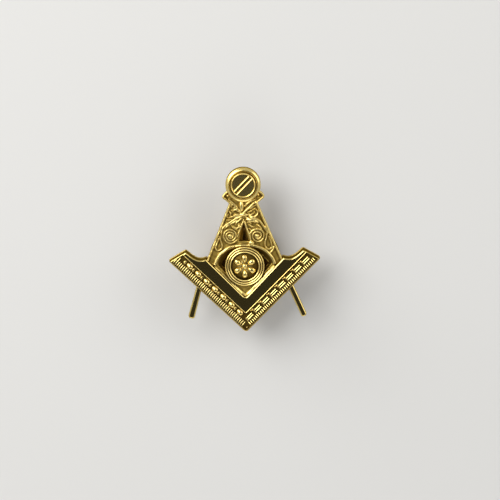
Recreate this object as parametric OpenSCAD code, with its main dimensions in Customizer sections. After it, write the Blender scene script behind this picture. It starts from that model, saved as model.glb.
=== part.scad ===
// Lapel pin: a square laid over a pair of compasses, cast in one piece and gilt.
// A screw head sits at the hinge, scrolls fill the legs, a ruler runs along the square,
// and a round rosette sits between the legs. A post on the back takes a round clutch.
// Millimetres. The pin lies face up on its clutch: the origin is on the post's axis at the
// clutch's back, +Y points to the head of the compasses and +Z out of the face.

/* [Square] */
// Half the distance between the two end corners
arm_reach = 11.7; // [10.5:0.02:12.5]
// Depth of the outer corner below the middle of the rosette
outer_corner = 10.42; // [10.2:0.01:10.7]
// Depth of the line between band and ruler, at the corner
strip_corner = 7.35; // [7.2:0.01:7.6]
// Depth of the inner corner
inner_corner = 5.02; // [4.8:0.01:5.3]
// Slope of the inner edge of an arm
inner_slope = 45.9; // [45:0.1:47]
// Slope of the line between band and ruler
strip_slope = 44.5; // [44:0.1:45.5]
// Slope of the outer edge of an arm
outer_slope = 44.2; // [43.5:0.1:45]
// How far the walls spread from the face down to the back
wall_spread = 0.25; // [0.1:0.01:0.5]
// Width of the raised rim round the ruler
rim_w = 0.24; // [0.12:0.01:0.35]

/* [Ruler] */
// Distance of the first unit from the outer corner, along the edge
ruler_start = 1.2; // [0.9:0.02:1.5]
// Length of one unit of the ruler
unit_l = 1.785; // [1.6:0.005:1.85]
// Units along each arm
units = 8; // [5:1:8]
// Divisions in a unit
unit_ticks = 5; // [3:1:6]
// Width of a tick
tick_w = 0.2; // [0.1:0.01:0.25]
// Length of a short tick
tick_l = 0.7; // [0.3:0.05:0.8]
// Length of a brick
brick_l = 1.3; // [0.8:0.02:1.5]
// Width of a brick
brick_w = 0.5; // [0.3:0.02:0.6]

/* [Compasses] */
// Height of the centre of the head above the middle of the rosette
head_y = 12.85; // [12.4:0.05:13.2]
// Radius of the head
head_r = 2.78; // [2.5:0.02:3]
// Radius of the screw disc, with its ring
screw_r = 1.97; // [1.8:0.01:2.1]
// Width of the ring round the screw disc
screw_ring = 0.25; // [0.15:0.01:0.35]
// Width of the screw slot
slot_w = 0.36; // [0.2:0.02:0.5]
// Direction of the screw slot
slot_turn = 45; // [0:1:90]
// Width of the neck below the head, either side
neck_x = 2.19; // [2:0.01:2.4]
// Height of the neck
neck_y = 9.98; // [9.8:0.01:10.1]
// Sideways run of a leg for each millimetre of drop
leg_run = 0.415; // [0.38:0.005:0.44]
// Width of the raised rim along a leg
leg_rim = 0.3; // [0.2:0.02:0.4]
// Width of a lower leg
shank_w = 0.75; // [0.6:0.05:0.95]
// Foot of the left leg, sideways
left_foot = -8.57; // [-9.5:0.01:-8]
// Foot of the right leg, sideways
right_foot = 9.17; // [8:0.01:9.5]
// Depth of the feet below the middle of the rosette
foot_drop = 8; // [7:0.05:8.5]
// Radius of each arc of the arch
arch_r = 4; // [3.8:0.05:4.2]
// Sideways distance of each arc's centre from the middle
arch_spread = 0.85; // [0.6:0.05:1.1]
// Depth of the arcs' centres below the middle of the rosette
arch_drop = 0.87; // [0.6:0.01:1.1]
// Width of the arch's wall
arch_w = 0.65; // [0.5:0.05:0.8]
// Lower end of the openings beside the rosette
opening_low = -1; // [-1.6:0.1:-0.4]

/* [Scrolls] */
// Radius of a volute
volute_r = 1.24; // [1:0.02:1.4]
// Radius of a volute's inner end as a share of the outer one
volute_eye = 0.2; // [0.1:0.05:0.4]
// Width of a scroll line
line_w = 0.2; // [0.14:0.01:0.28]

/* [Rosette] */
// Radius of the rosette's foot
rosette_r = 3.1; // [2.9:0.02:3.2]
// Number of petals
petals = 6; // [5:1:8]
// Length of a petal
petal_l = 1.75; // [1.4:0.05:1.85]
// Radius of the centre boss
boss_r = 0.52; // [0.4:0.02:0.6]

/* [Heights] */
// Height of the casting's back above the clutch's back
back_z = 6.2; // [6:0.1:8]
// Upright edge at the back of the square
land = 0.35; // [0.2:0.05:0.5]
// Floor of the ruler
strip_z = 1.5; // [1.3:0.05:1.6]
// Face of the band
band_z = 1.68; // [1.6:0.01:1.75]
// Rims and ruler marks
rim_z = 1.8; // [1.75:0.01:1.9]
// Sunk ground of the compasses
field_z = 1; // [0.8:0.05:1.2]
// Rims of the compasses
leg_rim_z = 1.4; // [1.3:0.02:1.5]
// Top of the scroll lines' volutes
volute_z = 1.54; // [1.4:0.02:1.6]
// Upper edge of a lower leg's sides
shank_edge_z = 0.75; // [0.5:0.05:0.9]
// Top of a lower leg
shank_z = 1.08; // [0.95:0.01:1.2]

/* [Clasp] */
// Radius of the post
post_r = 0.55; // [0.4:0.05:0.7]
// Radius of the clutch
clutch_r = 5.7; // [5:0.1:6]
// Height of the clutch
clutch_h = 5; // [4.5:0.1:5.4]
// Floor under the blind bore
clutch_floor = 0.95; // [0.6:0.05:1.5]
// Gap round and under the post
post_gap = 0.05; // [0.03:0.01:0.1]

/* [Hidden] */
$fn = 72;
gold = "#d9b45a";
nickel = "#c9c6bd";
// How deep a raised form is rooted in what carries it
root = 0.2;
// Place and radius of the bead in each ear of the compasses
ear_bead = [2.5, 11.1];
ear_bead_r = 0.3;
// Length along the arm and width of a knob of the ruler
knob = [0.42, 0.8];
// Segments in half of an arm's curved end
curve_steps = 8;

// Points of the right arm's face
inner_end = [6.05, 6.05 * tan(inner_slope) - inner_corner];
end_peak = [arm_reach - 2.5, 2.4];
end_tip = [arm_reach, arm_reach * tan(outer_slope) - outer_corner];
end_curve = [inner_end, [7.2, 0.85], [7.7, 1.05], end_peak];

// Scroll lines. Each row is a curve from A by B and C to D, its widths at A, in the middle
// and at D as shares of line_w, and the height of its top.
LINES = [
    // A, B, C, D, width at A, in the middle, at D, top
    [[-2.3, 10.5], [-1.7, 9.9], [-0.9, 9], [-0.25, 8.4], 1.5, 1.3, 1, 1.5],
    [[2.15, 10.3], [1.4, 9.75], [0.6, 9.1], [-0.2, 8.4], 1.5, 1.3, 1, 1.5],
    [[-0.55, 10.6], [-0.4, 10.1], [-0.5, 9.5], [-0.55, 8.9], 3, 2.2, 1, 1.45],
    [[0.3, 9.75], [0.7, 10.3], [1.3, 10.3], [2.05, 10.5], 1, 1.5, 0.8, 1.52],
    [[-1.95, 9.4], [-1.8, 9.8], [-1.5, 9.8], [-1.35, 9.3], 1, 1.2, 0.8, 1.46],
    [[-1.9, 8.6], [-1.5, 9.2], [-1, 9], [-0.6, 8.35], 0.8, 1.5, 1, 1.48],
    [[-2.2, 8.1], [-1.7, 8.5], [-1.1, 8.4], [-0.45, 7.85], 0.8, 1.6, 1, 1.46],
    [[-2.65, 7.1], [-2.1, 7.7], [-1.3, 8], [-0.25, 7.9], 0.8, 1.5, 1, 1.48],
    [[0.05, 7.7], [-1.2, 7.7], [-3.2, 6.7], [-3.45, 5.3], 1, 1.6, 0.8, 1.52],
    [[-0.6, 7.55], [-1.3, 7.35], [-2, 6.9], [-2.5, 6.35], 1, 1.3, 0.8, 1.48],
    [[-0.75, 7.2], [-1, 6.9], [-1.4, 6.6], [-1.9, 6.4], 1, 1.3, 0.8, 1.44],
    [[-0.9, 6.75], [-0.9, 6.2], [-1.6, 5.9], [-1.85, 6.5], 0.8, 1.3, 1, 1.48],
    [[0.3, 7.45], [1.6, 7.9], [3.1, 6.8], [3.45, 5.5], 1, 1.6, 0.8, 1.52],
    [[0.7, 8.5], [1.1, 8.9], [1.5, 9], [2, 9.25], 0.8, 1.5, 0.8, 1.46],
    [[0.8, 8.1], [1.5, 7.9], [2, 8.5], [1.6, 9.05], 1, 1.3, 0.8, 1.48],
    [[0.5, 8.35], [1, 7.5], [2.7, 7.9], [1.9, 9.3], 1, 1.4, 0.8, 1.5],
    [[0.45, 6.6], [0.8, 7.2], [1.4, 6.9], [1.9, 6.35], 0.8, 1.5, 1, 1.48],
    [[0.95, 6.05], [1.1, 6.5], [1.6, 6.4], [1.75, 6.1], 0.8, 1.2, 0.8, 1.44],
    [[-0.2, 7.2], [-0.6, 5.8], [-0.9, 4.3], [-2.5, 3.6], 0.9, 1.2, 1, 1.46],
    [[0.1, 7.1], [0.4, 5.6], [0.6, 4.6], [0.75, 3.7], 0.9, 1.1, 1, 1.46],
    [[-3.8, 4.75], [-3.2, 3.6], [-3, 2.5], [-4, 2.65], 0.8, 1.3, 1, 1.48],
    [[-4, 2.65], [-4.9, 2.7], [-4.4, 3.6], [-3.8, 4.75], 1, 1.2, 0.8, 1.45],
    [[3.7, 4.75], [3.1, 3.6], [3.3, 2.4], [4.15, 2.5], 0.8, 1.3, 1, 1.48],
    [[4.15, 2.5], [5.1, 2.8], [4.4, 3.7], [3.7, 4.75], 1, 1.2, 0.8, 1.45],
];
line_steps = 8;
// Points in one turn of a volute
turn_steps = 14;

function unit(v) = v / norm(v);
function mirrored(points) = [for (i = [len(points) - 1:-1:0]) [-points[i].x, points[i].y]];
function bezier(c, t) =
    pow(1 - t, 3) * c[0] + 3 * pow(1 - t, 2) * t * c[1]
    + 3 * (1 - t) * t * t * c[2] + pow(t, 3) * c[3];
function curve(c, steps) = [for (i = [0:steps]) bezier(c, i / steps)];

// Unit normal of an open chain of points at point i, to the right of its direction
function side(p, i) =
    let (d = unit(p[min(i + 1, len(p) - 1)] - p[max(i - 1, 0)])) [d.y, -d.x];

// The chain moved sideways so that each of its straight stretches moves by d
function moved(p, d) = [
    for (i = [0:len(p) - 1])
        let (
            u = unit(p[max(i, 1)] - p[max(i, 1) - 1]),
            v = unit(p[min(i, len(p) - 2) + 1] - p[min(i, len(p) - 2)]),
            a = [u.y, -u.x],
            b = [v.y, -v.x]
        )
        p[i] + d * (a + b) / (1 + a * b)
];

// Outline of a line of changing width along a chain; w holds its widths at both ends and the middle
function ribbon(p, w) =
    let (
        n = len(p) - 1,
        half = [
            for (i = [0:n])
                let (t = i / n)
                (w[0] * pow(1 - t, 2) + (4 * w[1] - w[0] - w[2]) * t * (1 - t) + w[2] * t * t) / 2
        ]
    )
    concat(
        [for (i = [0:n]) p[i] + side(p, i) * half[i]],
        [for (i = [n:-1:0]) p[i] - side(p, i) * half[i]]
    );

// Chains of the square's face from the left end to the right one
half_inner = concat([[0, -inner_corner]], curve(end_curve, curve_steps));
inner_chain = concat(mirrored(half_inner), [for (i = [1:len(half_inner) - 1]) half_inner[i]]);
outer_at = function(k) [end_tip.x * k, end_tip.x * k * tan(outer_slope) - outer_corner];
half_outer = [for (i = [0:len(half_inner) - 1]) outer_at(i == 0 ? 0 : half_inner[i].x / end_peak.x)];
outer_chain = concat(mirrored(half_outer), [for (i = [1:len(half_outer) - 1]) half_outer[i]]);
strip_end = [9.1, 9.1 * tan(strip_slope) - strip_corner];

// Volutes. Each row is the centre, the direction of the outer end from it, and the turns.
VOLUTES = [
    // centre, direction, turns
    [[-2.15, 4.8], -30, 2.5],
    [[2.1, 4.7], 190, 2.2],
];

// A closed skin through rings with equal numbers of points, each ring a convex section
module skin(rings) {
    n = len(rings[0]);
    m = len(rings);
    polyhedron(
        points = [for (r = rings) each r],
        faces = concat(
            [for (i = [1:n - 2]) [0, i + 1, i]],
            [for (i = [1:n - 2]) [0, i, i + 1] + [1, 1, 1] * n * (m - 1)],
            [
                for (k = [0:m - 2], i = [0:n - 1])
                    let (a = k * n + i, b = k * n + (i + 1) % n)
                    each [[a, b, b + n], [a, b + n, a + n]]
            ]
        )
    );
}

// A flat form that is rooted below z and rises to the height top
module raised(z, top) {
    translate([0, 0, z - root])
        linear_extrude(top - z + root)
            children();
}

// Right arm's long directions: x runs along the arm from the corner, y inwards from the outer edge
module along_arm(side) {
    mirror([side < 0 ? 1 : 0, 0, 0])
        translate([0, -outer_corner])
            rotate(outer_slope)
                children();
}

// The square's body: upright land, then walls that draw in to the face
module square_body() {
    land_in = moved(inner_chain, -wall_spread);
    land_out = moved(outer_chain, wall_spread);
    skin([
        for (i = [0:len(inner_chain) - 1])
            let (
                grow = i == 0 ? [-wall_spread, 0] : i == len(inner_chain) - 1 ? [wall_spread, 0] : [0, 0],
                a = land_in[i] + grow,
                b = land_out[i] + grow
            )
            [
                [a.x, a.y, 0],
                [b.x, b.y, 0],
                [b.x, b.y, land],
                [outer_chain[i].x, outer_chain[i].y, strip_z],
                [inner_chain[i].x, inner_chain[i].y, strip_z],
                [a.x, a.y, land]
            ]
    ]);
}

// The polished band along the inner half of both arms
module square_band() {
    inner = [for (p = half_inner) if (p.x < strip_end.x - 0.25) p];
    edge = moved(inner, -rim_w / 2);
    right = concat([[0, edge[0].y]], [for (i = [1:len(edge) - 1]) edge[i]], [strip_end]);
    raised(strip_z, band_z)
        polygon(concat(right, [[0, -strip_corner]], mirrored(right)));
}

// Rim round the outer edge and the ends, and the ridge between band and ruler
module square_rims() {
    outer = concat([end_peak * -1 + [0, end_peak.y * 2]], [[-end_tip.x, end_tip.y]],
        [[0, -outer_corner]], [end_tip, end_peak]);
    inner = moved(outer, -rim_w);
    raised(strip_z, rim_z)
        polygon(concat(outer, [for (i = [len(inner) - 1:-1:0]) inner[i]]));
    ridge = [[-strip_end.x, strip_end.y], [0, -strip_corner], strip_end];
    low = moved(ridge, rim_w);
    raised(strip_z, rim_z - 0.04)
        polygon(concat(ridge, [for (i = [2:-1:0]) low[i]]));
}

// Ruler marks: short ticks, a brick over the ticks of each unit, and a long tick with a knob between
// units. The right arm's first brick fills the corner.
module ruler() {
    pitch = unit_l / unit_ticks;
    tick_y = rim_w + 0.06;
    brick_y = tick_y + tick_l;
    knob_y = brick_y + brick_w + (knob.y - brick_w) / 2;
    for (side = [-1, 1])
        along_arm(side) {
            raised(strip_z, rim_z - 0.02)
                for (k = [0:units * unit_ticks])
                    translate([ruler_start + k * pitch - tick_w / 2, tick_y])
                        square([tick_w, k > 0 && k % unit_ticks == 0 ? knob_y - tick_y : tick_l + 0.02]);
            raised(strip_z, rim_z - 0.06)
                for (k = [side > 0 ? 0 : 1:units - 1])
                    translate([ruler_start + k * unit_l, brick_y])
                        square([brick_l, brick_w]);
            raised(strip_z, rim_z - 0.05)
                for (k = [1:units - 1])
                    translate([ruler_start + k * unit_l, knob_y])
                        square(knob, center = true);
        }
}

// The plate of the compasses: head, ears, legs and the arch, with the pierced openings
module compasses_plate() {
    leg_foot = [neck_x + (neck_y + 0.8) * leg_run, -0.8];
    right_edge = [
        [1.2, 12.6], [2.6, 11.75], [3, 11.46], [3.32, 10.93], [2.9, 10.55], [neck_x, neck_y], leg_foot,
        [leg_foot.x - 2.2, leg_foot.y], [4.2, 0.6]
    ];
    linear_extrude(field_z)
        difference() {
            union() {
                polygon(concat(right_edge, mirrored(right_edge)));
                translate([0, head_y])
                    circle(head_r - 0.05);
                arch_disc(arch_r);
            }
            openings();
        }
}

// The space that the inner edges of the square leave, drawn in by d, from height low up
module corner_space(d, low) {
    tip = -inner_corner + d / cos(inner_slope);
    reach = 8;
    intersection() {
        polygon([[0, tip], [reach, tip + reach * tan(inner_slope)], [-reach, tip + reach * tan(inner_slope)]]);
        translate([-reach, low])
            square([2 * reach, 2 * reach]);
    }
}

// Two discs side by side, whose outline is the arch
module arch_disc(r) {
    for (side = [-1, 1])
        translate([side * arch_spread, -arch_drop])
            circle(r);
}

// The gap between the legs and the space under the arch, which the rosette partly fills
module openings() {
    polygon([[0.05, 6.3], [-0.55, 3.95], [0.62, 3.95]]);
    difference() {
        intersection() {
            arch_disc(arch_r - arch_w);
            corner_space(0.85, opening_low);
        }
        circle(rosette_r - 0.1);
    }
}

// Raised edges of the legs and of the arch
module compasses_rims() {
    foot = [neck_x + (neck_y - 0.9) * leg_run, 0.9];
    rim = [[neck_x, neck_y], foot, foot - [leg_rim, 0], [neck_x - leg_rim, neck_y - 0.1]];
    raised(field_z, leg_rim_z)
        for (side = [0, 1])
            mirror([side, 0])
                polygon(rim);
    raised(field_z, leg_rim_z - 0.06)
        difference() {
            arch_disc(arch_r + 0.12);
            arch_disc(arch_r - 0.14);
            polygon([[-6, 0.4], [6, 0.4], [6, -6], [-6, -6]]);
        }
}

// The slender lower legs: straight bars with bevelled tops and rounded feet
module shank(top, foot) {
    d = unit(foot - top);
    w = [d.y, -d.x] * shank_w / 2;
    bar = function(p, k, h) [
        [p.x - w.x * k, p.y - w.y * k, 0],
        [p.x + w.x * k, p.y + w.y * k, 0],
        [p.x + w.x * k, p.y + w.y * k, shank_edge_z * h],
        [p.x + w.x * k / 2, p.y + w.y * k / 2, shank_z * h],
        [p.x - w.x * k / 2, p.y - w.y * k / 2, shank_z * h],
        [p.x - w.x * k, p.y - w.y * k, shank_edge_z * h]
    ];
    skin([
        bar(top, 1, 1), bar(foot - d * 0.28, 1, 1), bar(foot - d * 0.1, 0.75, 0.92), bar(foot, 0.4, 0.85)
    ]);
}

// Head with a rounded shoulder, a groove, and the ringed screw disc with its slot
module head() {
    shoulder = [
        for (i = [0:6])
            let (a = i * 15)
            [screw_r + 0.18 + (head_r - screw_r - 0.18) * cos(a), 0.55 + 1.2 * sin(a)]
    ];
    profile = concat(
        [[0, 0], [head_r, 0]],
        shoulder,
        [
            [screw_r + 0.1, 1.4], [screw_r, 1.4], [screw_r, 1.85], [screw_r - 0.07, 1.95],
            [screw_r - screw_ring + 0.05, 1.95], [screw_r - screw_ring, 1.72], [0, 1.72]
        ]
    );
    bar_l = (screw_r - screw_ring) * 1.9;
    translate([0, head_y]) {
        difference() {
            rotate_extrude()
                polygon(profile);
            rotate(slot_turn)
                translate([-bar_l / 2, -slot_w / 2, 1.5])
                    cube([bar_l, slot_w, 1]);
        }
        rotate(slot_turn)
            for (side = [-1, 1])
                translate([-bar_l * 0.48, side * (slot_w + 0.26) / 2 - 0.13, 1.5])
                    cube([bar_l * 0.96, 0.26, 0.4]);
    }
    for (side = [-1, 1])
        translate([side * ear_bead.x, ear_bead.y, field_z])
            sphere(ear_bead_r);
}

// A spiral that starts in the direction first and winds inwards clockwise
function spiral(first, turns) =
    let (steps = round(turns * turn_steps))
    [
        for (i = [0:steps])
            let (t = i / steps, a = first - t * turns * 360, r = volute_r * (1 - (1 - volute_eye) * t))
            r * [cos(a), sin(a)]
    ];

// Volutes and scroll lines
module scrolls() {
    for (row = VOLUTES)
        translate(row[0])
            raised(field_z, volute_z)
                polygon(ribbon(spiral(row[1], row[2]), [1, 1.3, 1] * line_w));
    for (row = LINES)
        raised(field_z, row[7])
            polygon(ribbon(curve([row[0], row[1], row[2], row[3]], line_steps),
                [row[4], row[5], row[6]] * line_w));
}

// Round rosette: two raised rings, outlined petals on a sunk face, and a boss in the centre
module rosette() {
    rotate_extrude()
        polygon([
            [0, 0], [rosette_r, 0], [rosette_r, 1], [rosette_r - 0.22, 1.75], [rosette_r - 0.3, 1.95],
            [rosette_r - 0.45, 1.95], [rosette_r - 0.52, 1.7], [rosette_r - 0.66, 1.7],
            [rosette_r - 0.72, 1.88], [rosette_r - 0.86, 1.88], [rosette_r - 0.95, 1.45], [0, 1.45]
        ]);
    for (k = [0:petals - 1])
        rotate(90 + k * 360 / petals)
            raised(1.45, 1.82 + 0.002 * k)
                difference() {
                    petal(1);
                    petal(0.72);
                }
    translate([0, 0, 1.5])
        sphere(boss_r);
}

// A leaf shape from the centre outwards, where two arcs meet
module petal(k) {
    r = petal_l * 0.68 * k;
    middle = [boss_r * 0.7 + petal_l / 2, 0];
    translate(middle)
        intersection() {
            translate([0, r - petal_l * 0.3 * k])
                circle(r);
            translate([0, petal_l * 0.3 * k - r])
                circle(r);
        }
}

module post() {
    translate([0, 0, clutch_floor + post_gap])
        cylinder(r = post_r, h = back_z + 0.5 - clutch_floor - post_gap);
}

module emblem() {
    color(gold) {
        translate([0, 0, back_z]) {
            square_body();
            square_band();
            square_rims();
            ruler();
            compasses_plate();
            compasses_rims();
            shank([-6.9, -2.2], [left_foot, -foot_drop]);
            shank([6.55, -2.2], [right_foot, -foot_drop]);
            head();
            scrolls();
            rosette();
        }
        post();
    }
}

// A plain round cap with eased edges and a blind bore for the post
module clutch() {
    ease = 0.7;
    color(nickel)
        difference() {
            rotate_extrude()
                polygon([
                    [0, 0], [clutch_r - ease, 0], [clutch_r, ease], [clutch_r, clutch_h - ease],
                    [clutch_r - ease, clutch_h], [0, clutch_h]
                ]);
            translate([0, 0, clutch_floor])
                cylinder(r = post_r + post_gap, h = clutch_h);
        }
}

emblem();
clutch();
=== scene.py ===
import math

import bmesh
import bpy
from mathutils import Matrix, Vector
from mathutils.geometry import intersect_line_line_2d


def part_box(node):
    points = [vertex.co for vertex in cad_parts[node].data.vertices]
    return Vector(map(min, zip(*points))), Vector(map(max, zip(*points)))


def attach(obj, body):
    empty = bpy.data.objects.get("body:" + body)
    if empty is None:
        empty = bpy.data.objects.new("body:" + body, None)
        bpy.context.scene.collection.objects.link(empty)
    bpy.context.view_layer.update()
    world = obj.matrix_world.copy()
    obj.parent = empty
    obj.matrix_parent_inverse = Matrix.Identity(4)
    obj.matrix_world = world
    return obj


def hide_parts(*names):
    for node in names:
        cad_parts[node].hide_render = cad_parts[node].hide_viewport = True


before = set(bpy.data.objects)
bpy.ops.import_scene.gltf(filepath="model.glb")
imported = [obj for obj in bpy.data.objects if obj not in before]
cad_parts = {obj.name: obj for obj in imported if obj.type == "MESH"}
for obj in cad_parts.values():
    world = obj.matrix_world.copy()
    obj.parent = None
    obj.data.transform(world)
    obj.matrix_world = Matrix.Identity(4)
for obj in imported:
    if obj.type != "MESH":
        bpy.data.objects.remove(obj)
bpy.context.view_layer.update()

bl_info = {
    "name": "Square and compasses lapel pin",
    "version": (1, 0, 0),
    "blender": (4, 5, 0),
    "location": "3D View > Sidebar > Lapel pin",
    "description": "Models a gilt cast lapel pin on its construction frame",
    "category": "Add Mesh",
}

# Pieces are modelled in millimetres and brought to metres when they are finished. The origin is on the
# floor, on the post's axis, and the middle of the rosette lies over it.
MM = 0.001
CLUTCH_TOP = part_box("clutch")[1]

# Height of the casting's flat back over the floor
BACK_Z = 6.2

# Slopes of the square's inner edge, of the line between band and ruler, and of the outer edge
INNER_SLOPE = math.radians(45.9)
STRIP_SLOPE = math.radians(44.5)
OUTER_SLOPE = math.radians(44.2)

# The flattened arch between the compasses' legs: the circle of its right side
ARCH_MIDDLE = (0.85, -0.87)
ARCH_RADIUS = 4.0

# Middles of the two volutes
VOLUTES = ((-2.15, 4.8), (2.1, 4.7))

# Ornament of the compasses. Each line is its points in turn and its half width.
COLLAR_LINES = [
    ([(-2.3, 10.55), (-1.65, 9.93), (-1.18, 9.42), (-0.95, 8.99), (-0.3, 8.2)], 0.17),
    ([(1.9, 10.5), (1.1, 10.19), (0.55, 9.81), (0.15, 9.4)], 0.21),
    ([(2.2, 10.3), (1.33, 9.65), (0.96, 9.23), (0.3, 8.68), (-0.3, 8.1)], 0.21),
]
LEFT_LEAF_LINES = [
    ([(-1.96, 9.3), (-1.72, 9.71), (-1.4, 9.53), (-1.51, 9.11), (-1.85, 8.7)], 0.14),
    ([(-1.7, 8.55), (-1.25, 8.91), (-0.9, 8.7), (-0.3, 8.3)], 0.17),
    ([(-1.6, 7.95), (-1.24, 8.14), (-0.77, 8.13), (-0.2, 8.1)], 0.17),
    ([(-2.3, 7.6), (-1.84, 7.81), (-1.29, 7.81), (-0.6, 7.9)], 0.16),
    ([(-2.4, 7.6), (-2.62, 7.85), (-2.4, 8.2)], 0.14),
    ([(-2.3, 8.75), (-2.05, 8.3), (-2.1, 7.95)], 0.14),
    ([(-2.75, 7.25), (-2.3, 7.3), (-1.8, 7.45)], 0.14),
    ([(0.05, 8.0), (-0.56, 7.75), (-1.14, 7.55), (-1.71, 7.2), (-2.28, 6.85),
      (-2.93, 6.44), (-3.36, 5.94), (-3.53, 5.44), (-3.62, 4.95)], 0.17),
    ([(-0.8, 7.5), (-1.43, 6.98), (-2.1, 6.62), (-2.75, 6.2), (-3.1, 5.85)], 0.14),
    ([(0.1, 7.62), (-0.42, 7.46), (-0.79, 7.12), (-1.16, 6.83), (-1.35, 6.58)], 0.15),
    ([(-0.78, 6.7), (-0.8, 6.2), (-1.2, 5.98), (-1.65, 6.33)], 0.16),
    ([(-1.95, 6.42), (-1.7, 6.1), (-1.33, 5.82), (-1.0, 5.6)], 0.14),
]
RIGHT_LEAF_LINES = [
    ([(2.0, 9.6), (1.4, 9.27), (1.0, 8.9)], 0.16),
    ([(1.67, 8.93), (1.23, 8.66), (0.68, 8.42)], 0.15),
    ([(1.72, 8.49), (1.44, 8.21), (1.01, 8.08), (0.7, 8.2)], 0.15),
    ([(1.75, 9.0), (2.16, 8.6), (2.15, 8.15), (1.85, 7.85), (1.35, 7.74), (0.5, 7.95)], 0.17),
    ([(0.0, 7.9), (0.7, 7.5), (1.5, 7.45), (2.3, 7.2),
      (2.9, 6.46), (3.37, 5.74), (3.66, 5.25), (3.4, 4.7)], 0.19),
    ([(0.35, 7.35), (1.1, 7.15), (1.8, 7.0), (2.3, 6.8)], 0.27),
    ([(0.5, 6.75), (0.8, 6.95), (1.15, 6.6)], 0.17),
    ([(0.8, 6.5), (1.2, 6.2), (1.6, 6.1)], 0.18),
    ([(2.05, 6.5), (2.4, 6.25), (2.75, 5.75)], 0.15),
    ([(0.75, 5.9), (1.0, 5.75), (1.2, 5.55)], 0.14),
]
VOLUTE_STEMS = [
    ([(0.0, 7.35), (-0.3, 6.53), (-0.6, 5.82), (-0.83, 5.18), (-1.05, 4.5)], 0.17),
    ([(0.12, 7.1), (0.26, 6.45), (0.54, 5.58), (0.8, 4.86), (0.99, 4.13), (1.2, 3.4)], 0.18),
]
LOOP_LINES = [
    ([(-3.9, 4.75), (-3.7, 4.09), (-3.52, 3.37), (-3.53, 2.93), (-3.87, 2.59),
      (-4.37, 2.6), (-4.5, 2.89), (-4.35, 3.39), (-3.98, 4.4)], 0.15),
    ([(3.62, 5.1), (3.42, 4.27), (3.26, 3.6), (3.4, 2.85),
      (3.9, 2.6), (4.3, 2.9), (4.2, 3.6), (3.9, 4.6)], 0.15),
    ([(4.62, 3.0), (4.48, 2.48), (4.05, 2.06)], 0.18),
]


def linear(hex_colour):
    """Turns an sRGB hex colour into linear red, green and blue."""
    parts = [int(hex_colour[i:i + 2], 16) / 255 for i in (1, 3, 5)]
    return tuple(c / 12.92 if c <= 0.04045 else ((c + 0.055) / 1.055) ** 2.4 for c in parts)


class PinSizes(bpy.types.PropertyGroup):
    """Sizes of the pin's pieces."""

    square_reach: bpy.props.FloatProperty(
        name="Square reach", description="Half the width of the square's face, corner to corner",
        default=11.7 * MM, unit="LENGTH")
    outer_corner: bpy.props.FloatProperty(
        name="Outer corner", description="Depth of the square's outer corner below the rosette's middle",
        default=10.42 * MM, unit="LENGTH")
    strip_corner: bpy.props.FloatProperty(
        name="Ruler corner", description="Depth of the line between band and ruler at the corner",
        default=7.35 * MM, unit="LENGTH")
    inner_corner: bpy.props.FloatProperty(
        name="Inner corner", description="Depth of the square's inner corner",
        default=5.02 * MM, unit="LENGTH")
    wall_spread: bpy.props.FloatProperty(
        name="Wall spread", description="How far the square's walls spread from the face to the back",
        default=0.25 * MM, unit="LENGTH")
    ruler_unit: bpy.props.FloatProperty(
        name="Ruler unit", description="Length of one unit of the ruler",
        default=1.785 * MM, unit="LENGTH")
    ruler_start: bpy.props.FloatProperty(
        name="Ruler start", description="Distance of the ruler's first unit from the outer corner",
        default=1.2 * MM, unit="LENGTH")
    head_radius: bpy.props.FloatProperty(
        name="Head radius", description="Radius of the compasses' head",
        default=2.75 * MM, unit="LENGTH")
    rosette_radius: bpy.props.FloatProperty(
        name="Rosette radius", description="Radius of the rosette's foot",
        default=3.1 * MM, unit="LENGTH")
    rim_width: bpy.props.FloatProperty(
        name="Rim width", description="Width of the raised rim round the ruler",
        default=0.15 * MM, unit="LENGTH")
    field_height: bpy.props.FloatProperty(
        name="Ground height", description="Height of the compasses' sunk ground above the back",
        default=1.0 * MM, unit="LENGTH")
    clutch_radius: bpy.props.FloatProperty(
        name="Clutch radius", description="Radius of the round clutch on the back",
        default=CLUTCH_TOP[0], unit="LENGTH")
    clutch_height: bpy.props.FloatProperty(
        name="Clutch height", description="Height of the clutch, from its flat back",
        default=CLUTCH_TOP[2], unit="LENGTH")


class PinColours(bpy.types.PropertyGroup):
    """Colours of the pin's finishes, and of the painted shade in its recesses."""

    gilt: bpy.props.FloatVectorProperty(
        name="Gilt", description="Polished gold plating", subtype="COLOR",
        default=linear("#E2C97A"), min=0.0, max=1.0)
    # Painted shade: the gilt darkened brown, laid where the recesses lie
    painted_shade: bpy.props.FloatVectorProperty(
        name="Gilt in painted shade", description="Gold plating darkened brown in the recesses as painted shade", subtype="COLOR",
        default=linear("#6A5522"), min=0.0, max=1.0)
    # Painted shade, lighter: the gilt darkened on the compasses' low ground
    painted_ground_shade: bpy.props.FloatVectorProperty(
        name="Gilt in light painted shade", description="Gold plating darkened on the ground between the scrolls as painted shade", subtype="COLOR",
        default=linear("#B99B4A"), min=0.0, max=1.0)
    turned_brass: bpy.props.FloatVectorProperty(
        name="Turned brass", description="Dull brass of the clutch", subtype="COLOR",
        default=linear("#77603A"), min=0.0, max=1.0)
    floor: bpy.props.FloatVectorProperty(
        name="Floor", description="Pale paper that the pin lies on", subtype="COLOR",
        default=linear("#CDCCC9"), min=0.0, max=1.0)


def sizes():
    """The pin's sizes in millimetres, by name."""
    held = bpy.context.scene.pin_sizes
    return {name: getattr(held, name) / MM for name in PinSizes.__annotations__}


# Modelling

# Smooth angle of a cast skin, in degrees
CAST_SKIN = 60


def deselect_all():
    """Leaves edit mode and clears the selection, which every operator would act on."""
    if bpy.context.object and bpy.context.object.mode != "OBJECT":
        bpy.ops.object.mode_set(mode="OBJECT")
    bpy.ops.object.select_all(action="DESELECT")


def activate(piece):
    """Selects one piece alone and makes it the active one."""
    deselect_all()
    piece.select_set(True)
    bpy.context.view_layer.objects.active = piece


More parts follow.
